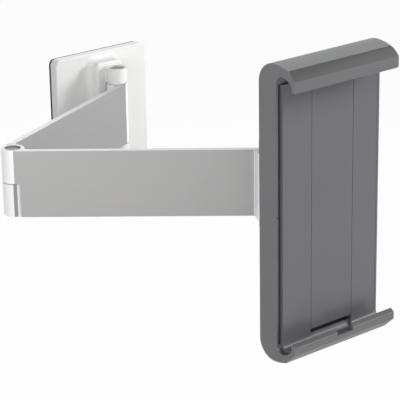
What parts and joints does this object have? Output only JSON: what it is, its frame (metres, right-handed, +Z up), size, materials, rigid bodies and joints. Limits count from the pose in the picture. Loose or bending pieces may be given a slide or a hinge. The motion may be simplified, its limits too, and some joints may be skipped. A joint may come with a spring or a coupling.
{
  "type": "tablet wall mount",
  "caption": "Folding wall arm with a sprung two-claw holder that grips a tablet upright or flat.",
  "frame": {"origin": "middle of the backing plate's face that lies on the wall, in line with the wall hinge", "axes": "+Y into the wall, +Z up, the holder faces -Y at rest"},
  "size_m": [0.1949, 0.2928, 0.1918],
  "materials": {
    "wall_casting": "pale silver powder coat on a die casting",
    "backing_plastic": "black moulded nylon",
    "arm_aluminium": "satin anodised extrusion",
    "cap_plastic": "grey snap-in cap",
    "bush_nylon": "natural nylon bearing",
    "pin_steel": "ground steel",
    "screw_steel": "zinc plated",
    "bracket_casting": "silver powder coat",
    "turn_plate_nylon": "black glass-filled nylon",
    "claw_plastic": "graphite ABS with a fine moulded grain",
    "strip_plastic": "graphite ABS with a soft sheen",
    "spring_steel": "drawn spring wire"
  },
  "bodies": {
    "wall": {"backing_plate": "backing_plastic", "wall_plate": "wall_casting", "lock_screws": "screw_steel", "wall_pin": "pin_steel", "wall_cap_top": "cap_plastic", "wall_cap_bottom": "cap_plastic"},
    "inner_arm": {"inner_arm": "arm_aluminium", "wall_bush_top": "bush_nylon", "wall_bush_bottom": "bush_nylon", "elbow_bush": "bush_nylon", "elbow_cap_bottom": "cap_plastic"},
    "outer_arm": {"outer_arm": "arm_aluminium", "elbow_sleeve": "pin_steel", "elbow_pin": "pin_steel", "elbow_cap_top": "cap_plastic", "head_bush_top": "bush_nylon", "head_bush_bottom": "bush_nylon"},
    "head": {"head_bracket": "bracket_casting", "head_pin": "pin_steel", "head_clip": "pin_steel", "turn_washer": "bush_nylon"},
    "holder": {"turn_plate": "turn_plate_nylon", "pivot_bolt": "screw_steel", "spring_washer": "screw_steel", "pivot_nut": "screw_steel", "plate_screws": "screw_steel", "lower_claw": "claw_plastic", "left_strip": "strip_plastic", "right_strip": "strip_plastic", "lower_anchor_pins": "pin_steel"},
    "upper_claw": {"upper_claw": "claw_plastic", "centre_strip": "strip_plastic", "upper_anchor_pins": "pin_steel", "tension_springs": "spring_steel"}
  },
  "joints": [
    {"name": "wall_hinge", "type": "hinge", "parent": "wall", "child": "inner_arm", "pos_m": [0, -0.0264, 0], "axis": [0, 0, 1], "range_deg": [-22, 152]},
    {"name": "elbow_hinge", "type": "hinge", "parent": "inner_arm", "child": "outer_arm", "pos_m": [-0.14625, -0.1025, 0], "axis": [0, 0, -1], "range_deg": [-60, 162]},
    {"name": "head_hinge", "type": "hinge", "parent": "outer_arm", "child": "head", "pos_m": [-0.0317, -0.22107, 0], "axis": [0, 0, 1], "range_deg": [-62, 158]},
    {"name": "holder_turn", "type": "hinge", "parent": "head", "child": "holder", "pos_m": [-0.0317, -0.26097, 0], "axis": [0, -1, 0], "continuous": true},
    {"name": "claw_slide", "type": "slide", "parent": "holder", "child": "upper_claw", "axis": [0, 0, 1], "range_m": [0, 0.105], "stiffness_N_per_m": 120, "springref_m": -0.08, "deforming": ["tension_springs"]}
  ]
}
